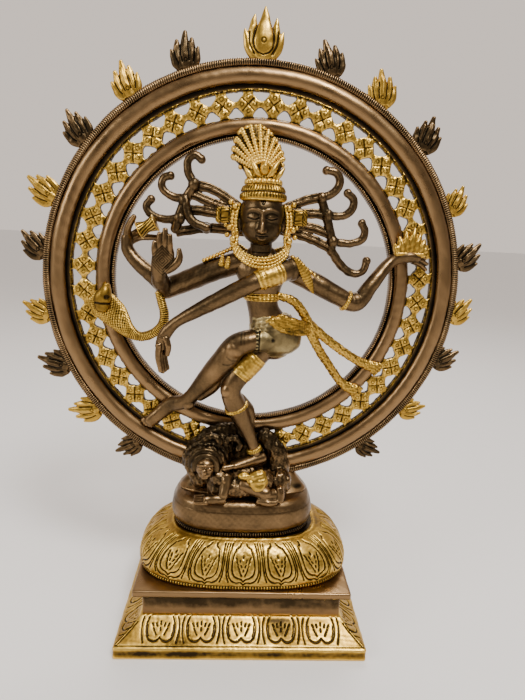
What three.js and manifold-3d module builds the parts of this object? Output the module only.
// Dancing figure inside a flaming ring, cast in brass: a hollow stepped base, a dark pedestal drum, a
// pierced ring with brazed flames, and a four-armed dancer who stands on a crouching dwarf.
// Millimetres, +Z up, the front faces -Y, origin on the table under the middle of the base.
// "Left" and "right" are as seen from the front, so left is -X.
import * as THREE from "three";
import { mergeVertices } from "three/addons/utils/BufferGeometryUtils.js";
import Module from "manifold-3d";

const wasm = await Module();
wasm.setup();

// ---------- driving dimensions ----------
const GAP = 0.3; // clearance left between two castings that seat on each other
const WALL = 3.2; // casting thickness of the hollow base pieces

const foot = { halfX: 90.5, halfY: 65, rimZ: 9, height: 22.5, rimInset: 1.5, flange: 14, flangeThick: 4 };
const plinth = { halfX: 72.5, halfY: 46.5, riser: 18.2, overhang: 6.3, slab: 4.8, plate: 4 };
const lotus = { halfX: 81, halfY: 51, height: 32, topX: 57, topY: 39, plate: 4, corner: 2.8 };
const drum = {
  x: -2, // the drum sits a little left of the middle
  halfX: 54.5,
  halfY: 35,
  height: 26,
  topX: 46,
  topY: 28,
  corner: 2.7,
  roof: 5,
  boss: 10,
};
const rod = { radius: 4, into: 14 };
const bar = { halfY: 9, thick: 5 };
const washer = { radius: 9, thick: 1.5 };
const nut = { radius: 7.5, height: 6.5 };
const screw = { radius: 2.5, head: 4.25, headHeight: 4.5, x: 18, into: 3 };

const ring = {
  radius: 150, // outer edge of the roped rim
  depth: 10,
  rope: 5.5,
  ropeDepth: 6,
  outerTube: 14.5,
  latticeWidth: 17.5,
  innerTube: 9.5,
  innerRope: 3.5,
  latticeDepth: 4,
  groove: 1.2,
  diamonds: 44,
  seat: 7, // from the underside of the ring's own foot to the rim
};
const ringFoot = { halfX: 45, halfY: 12, topX: 40.5, topY: 8, height: 10.5 };
const flame = { height: 24, halfWidth: 10.6, depth: 4.4 };
const topFlame = { height: 32.4, halfWidth: 14.6 };

const figure = { scale: 1, x: 3, y: -20, sole: 24 }; // sole: the standing foot's height over the drum

// ---------- levels worked out from the dimensions ----------
const plinthZ = foot.height + GAP;
const slabTop = plinthZ + plinth.riser + plinth.slab;
const lotusZ = slabTop + GAP;
const drumZ = lotusZ + lotus.height + GAP;
const drumTop = drumZ + drum.height;
const soleZ = drumTop + figure.sole;
const ringZ = drumTop + GAP + ring.seat + ring.radius;

const outerIn = ring.radius - ring.rope - ring.outerTube;
const innerOut = outerIn - ring.latticeWidth;
const innerIn = innerOut - ring.innerTube - ring.innerRope;
const ringFront = -ring.depth / 2;

// ---------- solids ----------
// A closed geometry as a solid that can be cut and joined.
function solidOf(geometry) {
  const bare = geometry.index ? geometry.toNonIndexed() : geometry.clone();
  for (const name of Object.keys(bare.attributes)) {
    if (name !== "position") bare.deleteAttribute(name);
  }
  const merged = mergeVertices(bare, 1e-4);
  return new wasm.Manifold(
    new wasm.Mesh({
      numProp: 3,
      vertProperties: merged.attributes.position.array,
      triVerts: new Uint32Array(merged.index.array),
    }),
  );
}

function geometryOf(solid) {
  const mesh = solid.getMesh();
  const points = new Float32Array(mesh.numVert * 3);
  for (let i = 0; i < mesh.numVert; i++) {
    points.set(mesh.vertProperties.subarray(i * mesh.numProp, i * mesh.numProp + 3), i * 3);
  }
  const geometry = new THREE.BufferGeometry();
  geometry.setAttribute("position", new THREE.BufferAttribute(points, 3));
  geometry.setIndex(new THREE.BufferAttribute(mesh.triVerts, 1));
  geometry.computeVertexNormals();
  return geometry;
}

const join = (...solids) => solids.reduce((sum, next) => sum.add(next));
const cut = (solid, ...tools) => tools.reduce((rest, tool) => rest.subtract(tool), solid);

// Closed skin over a stack of loops that all have the same number of points.
function skin(loops) {
  const count = loops[0].length;
  const points = loops.flat();
  const faces = [];
  for (let k = 0; k + 1 < loops.length; k++) {
    for (let i = 0; i < count; i++) {
      const a = k * count + i;
      const b = k * count + ((i + 1) % count);
      faces.push(a, b, b + count, a, b + count, a + count);
    }
  }
  for (const [start, flip] of [[0, true], [(loops.length - 1) * count, false]]) {
    const centre = points.length;
    const middle = new THREE.Vector3();
    for (let i = 0; i < count; i++) middle.add(points[start + i]);
    points.push(middle.divideScalar(count));
    for (let i = 0; i < count; i++) {
      const a = start + i;
      const b = start + ((i + 1) % count);
      faces.push(...(flip ? [centre, b, a] : [centre, a, b]));
    }
  }
  const geometry = new THREE.BufferGeometry();
  const numbers = points.flatMap((p) => p.toArray());
  geometry.setAttribute("position", new THREE.Float32BufferAttribute(numbers, 3));
  geometry.setIndex(faces);
  return solidOf(geometry);
}

// Stack of rectangles [halfX, halfY, z].
function rectStack(levels) {
  return skin(
    levels.map(([hx, hy, z]) => [
      new THREE.Vector3(-hx, -hy, z),
      new THREE.Vector3(hx, -hy, z),
      new THREE.Vector3(hx, hy, z),
      new THREE.Vector3(-hx, hy, z),
    ]),
  );
}

// Stack of rounded rectangles (superellipses) [halfX, halfY, z].
function roundStack(levels, corner, sides = 24) {
  const power = 2 / corner;
  const along = (v) => Math.sign(v) * Math.abs(v) ** power;
  return skin(
    levels.map(([hx, hy, z]) =>
      Array.from({ length: sides }, (_, i) => {
        const turn = (2 * Math.PI * i) / sides;
        return new THREE.Vector3(hx * along(Math.cos(turn)), hy * along(Math.sin(turn)), z);
      }),
    ),
  );
}

function box(halfX, halfY, lowZ, highZ) {
  return rectStack([[halfX, halfY, lowZ], [halfX, halfY, highZ]]);
}

// Upright cylinder with its axis at x, y.
function post(radius, lowZ, highZ, x = 0, y = 0, sides = 16) {
  const geometry = new THREE.CylinderGeometry(radius, radius, highZ - lowZ, sides);
  geometry.rotateX(Math.PI / 2).translate(x, y, (lowZ + highZ) / 2);
  return solidOf(geometry);
}

// Smooth course through stations [x, y, z, side radius, depth radius]: gives the section at a share t of
// the way. Sections stand square to the course, or all lie level where level is true.
function course(stations, level = false) {
  const spine = new THREE.CatmullRomCurve3(
    stations.map(([x, y, z]) => new THREE.Vector3(x, y, z)), false, "centripetal");
  const sizes = new THREE.CatmullRomCurve3(
    stations.map(([, , , side, depth], i) => new THREE.Vector3(side, depth, i)), false, "centripetal");
  return (t) => {
    const along = level ? new THREE.Vector3(0, 0, 1) : spine.getTangent(t);
    const depthAxis = new THREE.Vector3(0, 1, 0).addScaledVector(along, -along.y).normalize();
    const sideAxis = new THREE.Vector3().crossVectors(depthAxis, along);
    const size = sizes.getPoint(t);
    return { centre: spine.getPoint(t), along, sideAxis, depthAxis, side: size.x, depth: size.y };
  };
}

// Ring of points round a section, its radii scaled and then widened, its centre moved along the course.
function sectionLoop(section, sides, scale = 1, widen = 0, shift = 0) {
  return Array.from({ length: sides }, (_, i) => {
    const turn = (2 * Math.PI * i) / sides;
    return section.centre
      .clone()
      .addScaledVector(section.along, shift)
      .addScaledVector(section.sideAxis, Math.cos(turn) * (section.side * scale + widen))
      .addScaledVector(section.depthAxis, Math.sin(turn) * (section.depth * scale + widen));
  });
}

// Tapered limb with rounded ends; blunt is how wide its end faces are, as a share of the limb. grow makes
// all of it fatter, for the seat that a neighbour is cut with.
function limb(stations, { steps = 8, sides = 8, grow = 0, blunt = 0.55, level = false } = {}) {
  const place = course(stations, level);
  const endLoop = (t, direction) => {
    const section = place(t);
    const reach = 0.6 * (1 - blunt) * (section.side + section.depth) + grow;
    return sectionLoop(section, sides, blunt, grow, direction * reach);
  };
  const loops = [endLoop(0, -1)];
  for (let i = 0; i <= steps; i++) loops.push(sectionLoop(place(i / steps), sides, 1, grow));
  loops.push(endLoop(1, 1));
  return skin(loops);
}

// The stretch of a limb between two shares of its length, made fatter by thick: a band before it is bored.
function band(stations, from, to, thick, { sides = 12, level = false } = {}) {
  const place = course(stations, level);
  return skin([from, (from + to) / 2, to].map((t) => sectionLoop(place(t), sides, 1, GAP + thick)));
}

// Egg shape: an ellipsoid with its own half sizes.
function egg(x, y, z, halfX, halfY, halfZ, { grow = 0, wide = 12, tall = 8 } = {}) {
  const geometry = new THREE.SphereGeometry(1, wide, tall);
  geometry.rotateX(Math.PI / 2).scale(halfX + grow, halfY + grow, halfZ + grow).translate(x, y, z);
  return solidOf(geometry);
}

// ---------- places on the figure and on the ring ----------
// A station measured from the standing foot's sole, scaled with the figure.
const at = (x, y, z, side, depth = side) => [
  figure.x + figure.scale * x,
  figure.y + figure.scale * y,
  soleZ + figure.scale * z,
  figure.scale * side,
  figure.scale * depth,
];
// A station that lies against the ring's front face: polar place on the ring, in degrees from +X up.
function onRing(radius, degrees, side, depth = side) {
  const turn = THREE.MathUtils.degToRad(degrees);
  const away = ringFront - GAP - figure.scale * depth * 1.08;
  return [
    radius * Math.cos(turn),
    away,
    ringZ + radius * Math.sin(turn),
    figure.scale * side,
    figure.scale * depth,
  ];
}

// ---------- base ----------
function makeFoot() {
  const neckX = plinth.halfX + 1.2;
  const neckY = plinth.halfY + 1.2;
  const slope = (share, bulge) => [
    neckX + (foot.halfX - foot.rimInset - neckX) * share + bulge,
    neckY + (foot.halfY - foot.rimInset - neckY) * share + bulge,
    foot.rimZ + 2 + (foot.height - foot.rimZ - 2) * (1 - share),
  ];
  const outer = rectStack([
    [foot.halfX, foot.halfY, 0],
    [foot.halfX, foot.halfY, foot.rimZ],
    slope(1, 0),
    slope(0.5, -1),
    slope(0, 0),
  ]);
  const hollowTop = foot.height - foot.flangeThick;
  const hollow = rectStack([
    [foot.halfX - WALL, foot.halfY - WALL, -1],
    [foot.halfX - WALL, foot.halfY - WALL, foot.rimZ - 1],
    [neckX - WALL + 1, neckY - WALL + 1, hollowTop],
  ]);
  const opening = box(neckX - foot.flange, neckY - foot.flange, 0, foot.height + 1);
  return cut(outer, hollow, opening);
}

function makePlinth() {
  const top = slabTop;
  const slabX = plinth.halfX + plinth.overhang;
  const slabY = plinth.halfY + plinth.overhang;
  const outer = rectStack([
    [plinth.halfX, plinth.halfY, plinthZ],
    [plinth.halfX, plinth.halfY, top - plinth.slab],
    [slabX, slabY, top - plinth.slab],
    [slabX, slabY, top],
  ]);
  const hollow = box(plinth.halfX - WALL, plinth.halfY - WALL, plinthZ - 1, top - plinth.plate);
  return cut(outer, hollow, rodHole(plinthZ, top + 1));
}

// Outline of the lotus cushion, from its foot to its top plate.
function lotusLevels(inset) {
  const bulge = [
    [0.975, 0],
    [1, 0.2],
    [0.97, 0.5],
    [0.87, 0.82],
    [0.78, 0.97],
  ];
  const levels = bulge.map(([share, rise]) => [
    lotus.halfX * share - inset,
    lotus.halfY * share - inset,
    lotusZ + lotus.height * rise,
  ]);
  levels.push([lotus.topX - inset, lotus.topY - inset, lotusZ + lotus.height]);
  return levels;
}

function makeLotus() {
  const outer = roundStack(lotusLevels(0), lotus.corner);
  const inside = lotusLevels(WALL).slice(0, 4);
  inside[0][2] -= 1;
  inside.push([lotus.topX - WALL, lotus.topY - WALL, lotusZ + lotus.height - lotus.plate]);
  return cut(outer, roundStack(inside, lotus.corner), rodHole(lotusZ, lotusZ + lotus.height + 1));
}

// The drum's outer shape, drawn in by inset all round.
function drumStack(inset, height) {
  const bulge = [
    [0.93, 0],
    [0.985, 0.2],
    [1, 0.45],
    [0.98, 0.68],
    [0.93, 0.88],
  ];
  const levels = bulge.map(([share, rise]) => [
    drum.halfX * share - inset,
    drum.halfY * share - inset,
    drumZ + height * rise,
  ]);
  levels.push([drum.topX - inset, drum.topY - inset, drumZ + height]);
  return roundStack(levels, drum.corner).translate([drum.x, 0, 0]);
}

function makeDrum() {
  const outer = drumStack(0, drum.height);
  const inside = drumStack(WALL + 0.6, drum.height - drum.roof);
  const lowest = inside.intersect(box(2 * drum.halfX, drum.halfY, drumZ - 1, drumZ + 1));
  const mouth = lowest.translate([0, 0, -1]);
  const hollow = cut(join(inside, mouth), post(drum.boss, drumZ - 2, drumTop));
  const screwHole = (side) => post(screw.radius + GAP, drumZ, drumTop + 1, side * screw.x, 0, 12);
  const screws = [-1, 1].map(screwHole);
  return cut(outer, hollow, rodHole(drumZ - 1, drumZ + rod.into + 1), ...screws);
}

const rodHole = (lowZ, highZ) => post(rod.radius + GAP, lowZ, highZ);
const barTop = foot.height - foot.flangeThick - GAP;
const barHalfX = plinth.halfX - foot.flange + 8;
const washerTop = barTop - bar.thick - GAP;
const nutTop = washerTop - washer.thick - GAP;

const makeRod = () => post(rod.radius, nutTop - nut.height - 1.5, drumZ + rod.into);
const makeBar = () => cut(box(barHalfX, bar.halfY, barTop - bar.thick, barTop), rodHole(0, foot.height));
const makeWasher = () =>
  cut(post(washer.radius, washerTop - washer.thick, washerTop, 0, 0, 20), rodHole(0, foot.height));
const nutBlank = () => post(nut.radius, nutTop - nut.height, nutTop, 0, 0, 6);
const makeNut = () => cut(nutBlank(), rodHole(0, foot.height));

function makeRingScrew(side) {
  const roofUnder = drumZ + drum.height - drum.roof;
  const x = side * screw.x;
  return join(
    post(screw.radius, roofUnder - GAP - 1, drumTop + GAP + screw.into, x, 0, 12),
    post(screw.head, roofUnder - GAP - screw.headHeight, roofUnder - GAP, x, 0, 12),
  );
}

// ---------- ring ----------
const lift = (solid, z) => solid.translate([0, 0, z]);

// Solid of revolution about the ring's own axis, from a closed outline of [radius, y] points.
function hoop(outline) {
  const closed = [...outline, outline[0]];
  return solidOf(new THREE.LatheGeometry(closed.map(([r, y]) => new THREE.Vector2(r, y)), ring.diamonds));
}

// Disc that fills the ring's inside out to a radius.
const ringDisc = (radius) => solidOf(new THREE.CylinderGeometry(radius, radius, 4 * ring.depth, 60));

function makeOuterHoop() {
  const half = ring.depth / 2;
  const ropeHalf = ring.ropeDepth / 2;
  const tubeOut = ring.radius - ring.rope;
  const tubeMid = (tubeOut + outerIn) / 2;
  const seat = ring.latticeDepth / 2 + GAP;
  const body = hoop([
    [ring.radius, -ropeHalf],
    [ring.radius, half - 1.2],
    [outerIn, half - 1.2],
    [outerIn, seat],
    [outerIn + ring.groove, seat],
    [outerIn + ring.groove, -seat],
    [outerIn, -seat],
    [tubeMid - 4.4, -half + 0.9],
    [tubeMid, -half],
    [tubeMid + 4.4, -half + 0.9],
    [tubeOut, -ropeHalf - 0.4],
  ]);
  const bottom = -ring.radius - ring.seat;
  const holes = [-1, 1].map((side) =>
    post(screw.radius + GAP, bottom - 1, bottom + screw.into + 1, side * screw.x, 0, 10));
  return lift(cut(join(body, makeRingFoot()), ...holes), ringZ);
}

// Rounded mound that the ring stands in, measured from the ring's middle.
function makeRingFoot(grow = 0) {
  const bottom = -ring.radius - ring.seat;
  const level = (halfX, halfY, rise) => [halfX + grow, halfY + grow, bottom + rise];
  const mound = roundStack([
    level(ringFoot.halfX, ringFoot.halfY, 0),
    level((ringFoot.halfX + ringFoot.topX) / 2 + 1, ringFoot.halfY, 0.6 * ringFoot.height),
    level(ringFoot.topX, ringFoot.topY, ringFoot.height + grow),
  ], drum.corner, 20);
  const rimIn = ring.radius - ring.rope - ring.outerTube / 2;
  return cut(mound, ringDisc(rimIn)).translate([drum.x, 0, 0]);
}

function makeInnerHoop() {
  const half = ring.depth / 2;
  const seat = ring.latticeDepth / 2 + GAP;
  const ropeOut = innerIn + ring.innerRope;
  const tubeMid = (innerOut + ropeOut) / 2;
  return lift(hoop([
    [innerIn, half - 1.2],
    [innerIn, -ring.ropeDepth / 2],
    [ropeOut, -half + 1.6],
    [tubeMid - 3, -half + 0.7],
    [tubeMid, -half],
    [tubeMid + 3, -half + 0.7],
    [innerOut, -seat],
    [innerOut - ring.groove, -seat],
    [innerOut - ring.groove, seat],
    [innerOut, seat],
    [innerOut, half - 1.2],
  ]), ringZ);
}

// Flat pierced band: square studs stand on their corners, with a three-sided hole on each side.
function makeLattice() {
  const outer = outerIn + ring.groove - GAP;
  const inner = innerOut - ring.groove + GAP;
  const pitch = (2 * Math.PI) / ring.diamonds;
  const middle = (outerIn + innerOut) / 2;
  const polar = (r, turn) => new THREE.Vector2(-r * Math.sin(turn), r * Math.cos(turn));
  const circle = (r) => Array.from({ length: ring.diamonds }, (_, i) => polar(r, i * pitch));
  const shape = new THREE.Shape(circle(outer));
  shape.holes.push(new THREE.Path(circle(inner)));
  const cornerShare = 0.13; // share of the pitch where a stud's corner meets a hoop
  for (let i = 0; i < ring.diamonds; i++) {
    for (const [edge, apex] of [[outerIn - 0.9, middle + 1.5], [innerOut + 0.9, middle - 1.5]]) {
      shape.holes.push(new THREE.Path([
        polar(edge, (i - 0.5 + cornerShare) * pitch),
        polar(edge, (i + 0.5 - cornerShare) * pitch),
        polar(apex, i * pitch),
      ]));
    }
  }
  const geometry = new THREE.ExtrudeGeometry(shape, { depth: ring.latticeDepth, bevelEnabled: false });
  geometry.translate(0, 0, -ring.latticeDepth / 2).rotateX(Math.PI / 2);
  return lift(solidOf(geometry), ringZ);
}

// Flame with five tongues, its root on the ring at an angle from the top (left is positive) and
// leaning back upwards by lean.
function makeFlame(fromTop, lean, height, halfWidth) {
  const outline = [
    [-0.5, -0.12], [-0.72, 0.16], [-1, 0.55], [-0.74, 0.46], [-0.6, 0.84], [-0.34, 0.62],
    [0, 1], [0.34, 0.62], [0.58, 0.8], [0.72, 0.46], [0.98, 0.52], [0.72, 0.16], [0.5, -0.12],
  ];
  const shape = new THREE.Shape(outline.map(([x, y]) => new THREE.Vector2(x * halfWidth, y * height)));
  const geometry = new THREE.ExtrudeGeometry(shape, { depth: flame.depth, bevelEnabled: false });
  const turn = THREE.MathUtils.degToRad(fromTop);
  const tilt = THREE.MathUtils.degToRad(fromTop - Math.sign(fromTop) * lean);
  geometry.translate(0, 0, -flame.depth / 2).rotateX(Math.PI / 2).rotateY(-tilt);
  geometry.translate(-ring.radius * Math.sin(turn), 0, ring.radius * Math.cos(turn));
  return lift(cut(solidOf(geometry), ringDisc(ring.radius + GAP)), ringZ);
}

// ---------- dancer: head and trunk ----------
const torsoPath = [
  at(12, 0, 90, 10, 8),
  at(13, 0, 96, 15, 11),
  at(12, 0, 105, 17, 12),
  at(6.5, -1, 114, 13, 10),
  at(3, -2, 122, 11, 9),
  at(2, -2, 133, 13.5, 10),
  at(1.5, -2, 145, 18.5, 10.5),
  at(2, -1, 152, 18, 9),
  at(1, -1, 157, 10, 7.5),
];
const makeTorso = (grow = 0) => limb(torsoPath, { steps: 11, sides: 12, grow, level: true });

const neckPath = [at(0.5, -3, 155, 7.6), at(0, -4.5, 172, 8)];
function makeSkull(grow = 0) {
  const [x, y, z, halfX, halfY] = at(0, -6, 180, 15, 15);
  const neck = limb(neckPath, { steps: 2, sides: 10, grow, level: true });
  return join(egg(x, y, z, halfX, halfY, 18.5 * figure.scale, { grow, wide: 14, tall: 9 }), neck);
}
const makeHead = () => cut(makeSkull(), makeTorso(GAP));

const crownPath = [
  at(0.3, -6, 193, 15.8, 15.8),
  at(0.2, -5, 199, 13.5, 13),
  at(0, -4.5, 204, 11, 9.5),
  at(-2, -4, 211, 14, 8),
  at(-4.5, -4, 217, 18, 7),
  at(-5.5, -4, 225, 13.5, 6),
  at(-6.5, -4, 232, 8, 4.5),
  at(-7, -4, 237, 3, 2.5),
];
const crownBody = (grow = 0) => limb(crownPath, { steps: 9, sides: 12, blunt: 0.85, grow, level: true });
const makeCrown = () => cut(crownBody(), makeSkull(GAP));

// Ear ornaments: short spools that point sideways.
const earSpools = { left: at(-24, 0, 180, 5.8, 8.5), right: at(24, 0, 180, 5.8, 6.6) };
function earSpool([x, y, z, radius, halfLength], grow = 0) {
  const geometry = new THREE.CylinderGeometry(radius + grow, radius + grow, 2 * (halfLength + grow), 12);
  return solidOf(geometry.rotateZ(Math.PI / 2).translate(x, y, z));
}
const makeEarDisc = (spool) => cut(earSpool(spool), makeSkull(GAP), makeCrown());

// Hair that flies out sideways: a stem, four curls on it and four locks back to the head.
const rightHair = [
  [at(40, 8, 196, 3), at(45, 8, 183, 3), at(50, 8, 167, 3), at(50, 8, 159, 3.2)],
  [
    at(41, 8, 195, 2.8), at(50, 8, 199, 2.8), at(53, 8, 206, 2.8), at(50, 8, 212.5, 2.5),
    at(43, 8, 213, 2.2),
  ],
  [
    at(46, 8, 184, 2.8), at(56, 8, 183, 2.8), at(63, 8, 188, 2.8), at(63.5, 8, 195, 2.5),
    at(58.5, 8, 199, 2.1),
  ],
  [
    at(51, 8, 166, 2.8), at(62, 8, 165, 2.8), at(71, 8, 167.5, 2.8), at(73, 8, 174, 2.5),
    at(70, 8, 179.5, 2),
  ],
  [at(50, 8, 160, 3), at(57, 8, 150, 3), at(66, 8, 144, 2.8), at(74, 8, 146, 2.5), at(75.5, 8, 154, 2)],
  [at(10, 6, 184, 3), at(30, 8, 193, 3), at(41, 8, 195.5, 2.6)],
  [at(10, 6, 181, 3), at(31, 8, 184.5, 2.8), at(45, 8, 184, 2.6)],
  [at(10, 6, 177, 3), at(34, 8, 175.5, 2.8), at(48, 8, 171, 2.6)],
  [at(10, 6, 173, 3), at(33, 8, 168.5, 2.8), at(50, 8, 161, 2.8)],
];
const leftHair = [
  [at(-45.5, 8, 200, 3.6), at(-51.5, 8, 190, 3.2), at(-54.5, 8, 183, 3.2), at(-58.5, 8, 170, 3.4)],
  [
    at(-46, 8, 200, 2.8), at(-50.5, 8, 208, 2.8), at(-50.5, 8, 215, 2.6), at(-46, 8, 219, 2.4),
    at(-42, 8, 216, 2),
  ],
  [
    at(-52, 8, 190, 2.8), at(-61.5, 8, 191, 2.8), at(-68, 8, 196, 2.7), at(-67.5, 8, 203, 2.4),
    at(-62, 8, 204.5, 2),
  ],
  [
    at(-55.5, 8, 177, 3), at(-65, 8, 175.5, 2.8), at(-75, 8, 178, 2.7), at(-79, 8, 184, 2.4),
    at(-75, 8, 188.5, 2),
  ],
  [at(-52, 6.5, 190, 2.8), at(-50, 5.5, 180, 3), at(-46, 5, 174.5, 3), at(-37, 5, 171.5, 2.8)],
  [at(-10, 6, 183, 3), at(-32, 8, 197, 3), at(-45, 8, 199.5, 2.8)],
  [at(-10, 6, 181, 3), at(-33, 8, 188, 2.8), at(-48, 8, 193.5, 2.6)],
  [at(-10, 6, 177, 3), at(-36, 8, 182.5, 2.8), at(-53, 8, 183, 2.6)],
  [at(-10, 6, 170, 3), at(-36, 9, 172, 2.8), at(-57, 8.5, 168, 2.8)],
];
function makeHair(strands, spool) {
  const tubes = strands.map((path) => limb(path, { steps: 4, sides: 5 }));
  return cut(join(...tubes), makeSkull(GAP), makeTorso(GAP), crownBody(GAP), earSpool(spool, GAP));
}

// ---------- dancer: arms ----------
// The left pair shares one upper arm and forks at the elbow.
const upperArmPath = [
  at(-12, 0, 150, 7.6), at(-30, 0, 144, 7.6), at(-48, 0, 136, 7.4), at(-62, 0, 130, 7),
];
const blessingPath = [
  at(-63, -1.5, 130, 6), at(-66, -7, 135, 6), at(-66, -13, 141, 5.2), at(-64, -16, 147, 7, 4),
  at(-63, -17, 155, 7.2, 3.4), at(-63, -18, 162, 6, 2.6), at(-62, -18, 169, 4.2, 2),
];
const drumArmPath = [
  at(-64, 1, 130, 5.8), at(-73, 2, 138, 5.6), at(-84, 3, 147, 4.9), at(-90, 4, 155, 4.2),
  at(-90.5, 4, 163, 3.6),
  at(-86.5, 4, 170, 3.2, 2.6), at(-85, 4, 176, 2.2),
];
const crossingPath = [
  at(24, -2, 148, 7.4), at(12, -10, 144, 7.2), at(-3, -15.5, 138, 6.2), at(-26, -16, 125.5, 5.6),
  at(-42, -15, 116.5, 4.6), at(-56, -14, 107.5, 3.6), at(-63.5, -13.5, 98, 4.2, 3),
  at(-65, -13, 88, 4, 2.6),
  at(-62.5, -12, 75, 2.2, 2),
];
const palmAngle = 12.5; // degrees above the ring's middle where the open palm lies on it
const flameArmPath = [
  at(24, 2, 144, 7), at(42, 2, 136, 7.2), at(56, 2, 129, 6.6), at(69, 3, 124.5, 6), at(80, 5, 138, 5.2),
  onRing(innerIn + 1, palmAngle, 4.2, 4), onRing(innerOut - 1, palmAngle + 0.4, 4.4, 5),
  onRing(innerOut + 10.5, palmAngle - 1.7, 3, 3.4),
];
const upperArm = (grow = 0) => limb(upperArmPath, { steps: 5, grow });
const blessingArm = (grow = 0) => limb(blessingPath, { steps: 9, grow });
const drumArm = (grow = 0) => limb(drumArmPath, { steps: 10, grow });
const crossingArm = (grow = 0) => limb(crossingPath, { steps: 13, grow });
const flameArm = (grow = 0) => limb(flameArmPath, { steps: 13, grow });

const makeUpperArm = () => cut(upperArm(), makeTorso(GAP));
const makeBlessingForearm = () => cut(blessingArm(), upperArm(GAP));
const makeDrumForearm = () => cut(drumArm(), upperArm(GAP), blessingArm(GAP));
const makeCrossingArm = () => cut(crossingArm(), makeTorso(GAP));
const makeFlameArm = () => cut(flameArm(), makeTorso(GAP), crossingArm(GAP));

const crossingCuff = (grow = 0) => band(crossingPath, 0.12, 0.24, 1 + grow);
const makeCrossingCuff = () => cut(crossingCuff(), crossingArm(GAP), makeTorso(GAP));
const makeFlameArmBand = () => cut(band(flameArmPath, 0.3, 0.335, 1.2), flameArm(GAP));

// Hourglass hand drum held between the fingers.
function makeHandDrum() {
  const [x, y, z, radius, waist] = at(-75.5, 0, 170.5, 5.6, 2.8);
  const half = 1.15 * radius;
  const profile = [[0, -half], [radius, -half], [radius, -0.8 * half], [waist, 0],
    [radius, 0.8 * half], [radius, half], [0, half]];
  const geometry = new THREE.LatheGeometry(profile.map(([r, h]) => new THREE.Vector2(r, h)), 12);
  geometry.rotateZ(-1.15).translate(x, y, z);
  return cut(solidOf(geometry), drumArm(GAP), makeHair(leftHair, earSpools.left));
}

// Flame that stands in the open palm.
function makePalmFlame() {
  const [x, y, z] = onRing(innerOut - 1, palmAngle + 0.4, 4.4, 5);
  const s = figure.scale;
  const body = limb([
    [x - 1, y, z + s, 10 * s, 4.2 * s], [x, y, z + 8 * s, 11 * s, 4.6 * s],
    [x + 1, y, z + 14 * s, 6.5 * s, 3.4 * s], [x + 1.5, y, z + 19 * s, 1.8 * s, 1.5 * s],
  ], { steps: 5, level: true });
  return cut(body, flameArm(GAP));
}

// ---------- dancer: legs ----------
const standingPath = [
  at(6, -1, 92, 9, 9), at(-4, -3, 80, 8.6, 9), at(-14, -6, 68, 8, 8.4), at(-16.5, -6.5, 60, 7.2, 7.5),
  at(-12, -2.5, 46, 7.8, 7.6), at(-6, 0, 33, 6, 6), at(-0.5, 1.5, 20, 4.6, 4.8),
  at(3, 2, 9.5, 4.2, 4.6),
];
const standingFootPath = [
  at(9, 3, 6, 4.4, 4), at(2, 0, 5.2, 4.6, 4.6), at(-7, -3.5, 3.8, 3.2, 4.6), at(-15, -6.5, 2.9, 2.3, 4),
];
const raisedPath = [
  at(10, -4, 97, 8, 8), at(-4, -8.5, 97, 7.8, 8), at(-14, -9.5, 93, 8.2, 8), at(-22, -7, 82, 8.8, 8.2),
  at(-34, -2, 66, 7.6, 7.4), at(-44, 2, 53.5, 5.4, 5.4), at(-50, 4.5, 47.5, 5.4, 5.2),
  onRing(innerOut - 5, 237.5, 5.8, 4.4), onRing(outerIn - 2, 235, 4.2, 3),
];
const standingShin = (grow = 0) => limb(standingPath, { steps: 11, grow });
const standingFoot = (grow = 0) => limb(standingFootPath, { steps: 5, grow });
const standingLeg = (grow = 0) => join(standingShin(grow), standingFoot(grow));
const raisedLeg = (grow = 0) => limb(raisedPath, { steps: 14, grow });

const makeStandingLeg = () => cut(standingLeg(), makeTorso(GAP), raisedLeg(GAP));
const makeRaisedLeg = () => cut(raisedLeg(), makeTorso(GAP));
const makeThighCuff = () =>
  cut(band(standingPath, 0.14, 0.24, 1), standingShin(GAP), makeTorso(GAP), raisedLeg(GAP), hipWrap(GAP));
const makeCalfBand = () => cut(band(standingPath, 0.545, 0.58, 1.2), standingShin(GAP));
const makeAnklet = () => cut(band(standingPath, 0.93, 0.97, 1.4), standingLeg(GAP));

// ---------- dancer: dress and jewels ----------
function makeNecklace() {
  const drape = limb(
    [at(0.5, -2, 147, 19.8, 12), at(0.5, -3, 157, 14, 10.5), at(0.5, -3.5, 164, 10, 9.5)],
    { steps: 3, sides: 12, blunt: 0.95, level: true });
  const arms = [crossingArm(GAP), crossingCuff(GAP), upperArm(GAP), flameArm(GAP)];
  const hair = [makeHair(rightHair, earSpools.right), makeHair(leftHair, earSpools.left)];
  return cut(drape, makeTorso(GAP), makeSkull(GAP), ...arms, ...hair);
}

const chestBand = (grow = 0) => band(torsoPath, 0.53, 0.57, 1.2 + grow, { level: true });
const makeChestBand = () => cut(chestBand(), makeTorso(GAP), crossingArm(GAP));

const hipPath = [
  at(13, 0, 87.5, 11, 9), at(13.5, 0, 93, 17, 13), at(13, 0, 103, 19, 14), at(8.5, -1, 114, 14.5, 11.5),
];
const hipWrap = (grow = 0) => limb(hipPath, { steps: 5, sides: 12, blunt: 0.9, grow, level: true });
const makeHipCloth = () => cut(hipWrap(), makeTorso(GAP), standingLeg(GAP), raisedLeg(GAP));

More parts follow.
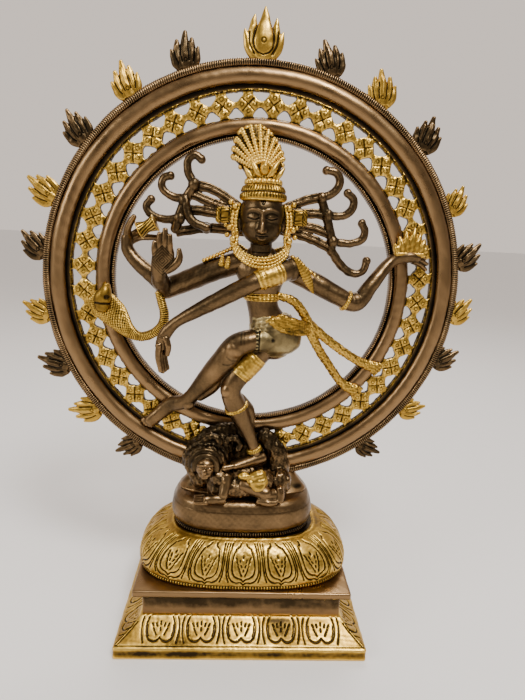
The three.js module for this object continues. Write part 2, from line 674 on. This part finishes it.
// Knotted sash: a loop off the waist and two tails that end on the ring.
const sashPaths = [
  [
    at(13, -4, 128.5, 2.6, 2.2), at(24, -3, 125, 3.2, 2.6), at(33, -1, 115, 3.4, 2.8),
    at(38, 0, 104, 4, 3),
  ],
  [at(34, 0, 112, 3.2, 2.8), at(45, 3, 102, 3.4, 2.6), at(60, 6, 91, 3.4, 2.4),
    onRing(innerIn - 3, -33.5, 3.4, 2.2), onRing(innerOut + 1, -31.5, 5, 2.2)],
  [at(36, 0, 106, 3.4, 2.8), at(44, 3, 92, 3.4, 2.6), at(54, 6, 78, 3.2, 2.4),
    onRing(innerIn - 1, -45.5, 3.4, 2.2), onRing(innerOut + 1, -43.5, 4.6, 2.2)],
];
function makeSash() {
  const strands = sashPaths.map((path) => limb(path, { steps: 7 }));
  return cut(join(...strands), makeTorso(GAP), hipWrap(GAP), flameArm(GAP), chestBand(GAP));
}

// Cobra whose tail comes off the forked elbow and whose hood lies on the ring.
const snakePath = [
  at(-70, -2, 125, 3), at(-65.5, -2.5, 118, 3), at(-64, -2, 111, 3), at(-67, 0, 103, 3),
  at(-74, 3, 96.5, 3),
  at(-83, 6, 94, 3, 2.6), at(-91, 8, 98, 5, 2.4),
  onRing(innerIn + 2, 194, 10, 2.6), onRing(innerIn + 9, 189, 9.5, 2.6),
  onRing(innerIn + 15, 184.5, 4.5, 2.4),
];
function makeSnake() {
  return cut(limb(snakePath, { steps: 17 }), upperArm(GAP), blessingArm(GAP), drumArm(GAP));
}

// ---------- dwarf ----------
const onDrum = (x, y, z, side, depth = side) => [figure.x + x, figure.y + y, drumTop + z, side, depth];
function dwarfSkull(grow = 0) {
  const [x, y, z] = onDrum(-34, -7, 31, 1);
  return egg(x, y, z, 11, 10.5, 11, { grow, wide: 12, tall: 8 });
}
const drumSeat = () => lift(drumStack(-GAP, drum.height), GAP);
const moundSeat = () => join(lift(makeRingFoot(GAP), ringZ), lift(makeRingFoot(GAP), ringZ - GAP));
const behindRingFace = () => box(300, 50, 0, 900).translate([0, 50 + ringFront - GAP, 0]);

function makeDwarfBody() {
  const part = (path, steps = 4) => limb(path, { steps });
  const base = part([onDrum(-31, 6, 7, 8, 12), onDrum(0, 4, 8, 8, 14), onDrum(28, 6, 7, 8, 12)]);
  const back = part([onDrum(-24, 0, 15, 10, 11), onDrum(-4, 0, 15, 8, 11), onDrum(28, 4, 12, 6, 9)]);
  const hair = part([onDrum(-22, 6, 22, 10, 8), onDrum(-24, 5, 34, 12, 8), onDrum(-20, 4, 43, 8, 6)]);
  const forearm = part([
    onDrum(-19, -9, 15, 4), onDrum(-19, -12, 6, 3.5), onDrum(-28, -13, 4.5, 3.5),
    onDrum(-39, -13, 4.5, 4.5),
  ], 6);
  const knee = part([onDrum(12, -4, 10, 6), onDrum(18, -9, 7, 6), onDrum(28, -6, 5.5, 5)]);
  const seats = [drumSeat(), moundSeat(), behindRingFace()];
  const body = join(base, back, hair, forearm, knee);
  return cut(body, dwarfSkull(GAP), ...seats, standingLeg(GAP), makeAnklet());
}
const makeDwarfHead = () => cut(dwarfSkull(), drumSeat());

// ---------- materials ----------
const brass = (color, roughness) => new THREE.MeshStandardMaterial({ color, roughness, metalness: 1 });
const patina = brass(0x6a5238, 0.38);
const gilt = brass(0xc49a3e, 0.32);
const steel = brass(0x8c8c8a, 0.45);

// ---------- assembly ----------
const statue = new THREE.Group();
function add(name, solid, material) {
  const mesh = new THREE.Mesh(geometryOf(solid), material);
  mesh.name = name;
  statue.add(mesh);
}

add("foot_flare", makeFoot(), gilt);
add("plinth", makePlinth(), patina);
add("lotus_cushion", makeLotus(), gilt);
add("pedestal_drum", makeDrum(), patina);
add("clamp_bar", makeBar(), steel);
add("tie_rod", makeRod(), steel);
add("tie_washer", makeWasher(), steel);
add("tie_nut", makeNut(), steel);
add("ring_screw_left", makeRingScrew(-1), steel);
add("ring_screw_right", makeRingScrew(1), steel);

add("outer_hoop", makeOuterHoop(), patina);
add("lattice_band", makeLattice(), gilt);
add("inner_hoop", makeInnerHoop(), patina);

// Hand-set flames: angle from the top, lean back upwards, and size.
const flamesOneSide = {
  left: [
    [19.5, 7, 1], [35.5, 10, 1], [52, 13, 1], [69, 11, 1], [84, 34, 0.93],
    [101, 32, 0.9], [116, 34, 1], [131, 31, 1], [146, 25, 0.85],
  ],
  right: [
    [-18.3, 30, 1], [-33.2, 32, 1], [-49, 26, 1], [-67.5, 38, 0.87], [-82, 30, 0.96],
    [-97.5, 50, 0.9], [-111, 43, 0.9], [-128, 44, 0.85], [-144, 26, 0.8],
  ],
};
add("flame_top", makeFlame(0, 0, topFlame.height, topFlame.halfWidth), gilt);
for (const [side, places] of Object.entries(flamesOneSide)) {
  places.forEach(([angle, lean, size], i) => {
    const solid = makeFlame(angle, lean, size * flame.height, size * flame.halfWidth);
    add(`flame_${side}_${i + 1}`, solid, i % 2 ? gilt : patina);
  });
}

add("dwarf_body", makeDwarfBody(), patina);
add("dwarf_head", makeDwarfHead(), patina);
add("standing_leg", makeStandingLeg(), patina);
add("raised_leg", makeRaisedLeg(), patina);
add("torso", makeTorso(), patina);
add("head", makeHead(), patina);
add("crown", makeCrown(), gilt);
add("ear_disc_left", makeEarDisc(earSpools.left), gilt);
add("ear_disc_right", makeEarDisc(earSpools.right), gilt);
add("hair_left", makeHair(leftHair, earSpools.left), patina);
add("hair_right", makeHair(rightHair, earSpools.right), patina);
add("left_upper_arm", makeUpperArm(), patina);
add("blessing_forearm", makeBlessingForearm(), patina);
add("drum_forearm", makeDrumForearm(), patina);
add("crossing_arm", makeCrossingArm(), patina);
add("flame_arm", makeFlameArm(), patina);
add("crossing_arm_cuff", makeCrossingCuff(), gilt);
add("flame_arm_band", makeFlameArmBand(), gilt);
add("hand_drum", makeHandDrum(), gilt);
add("palm_flame", makePalmFlame(), gilt);
add("necklace", makeNecklace(), gilt);
add("chest_band", makeChestBand(), gilt);
add("hip_cloth", makeHipCloth(), gilt);
add("sash", makeSash(), gilt);
add("thigh_cuff", makeThighCuff(), gilt);
add("calf_band", makeCalfBand(), gilt);
add("anklet", makeAnklet(), gilt);
add("snake", makeSnake(), gilt);

export default statue;
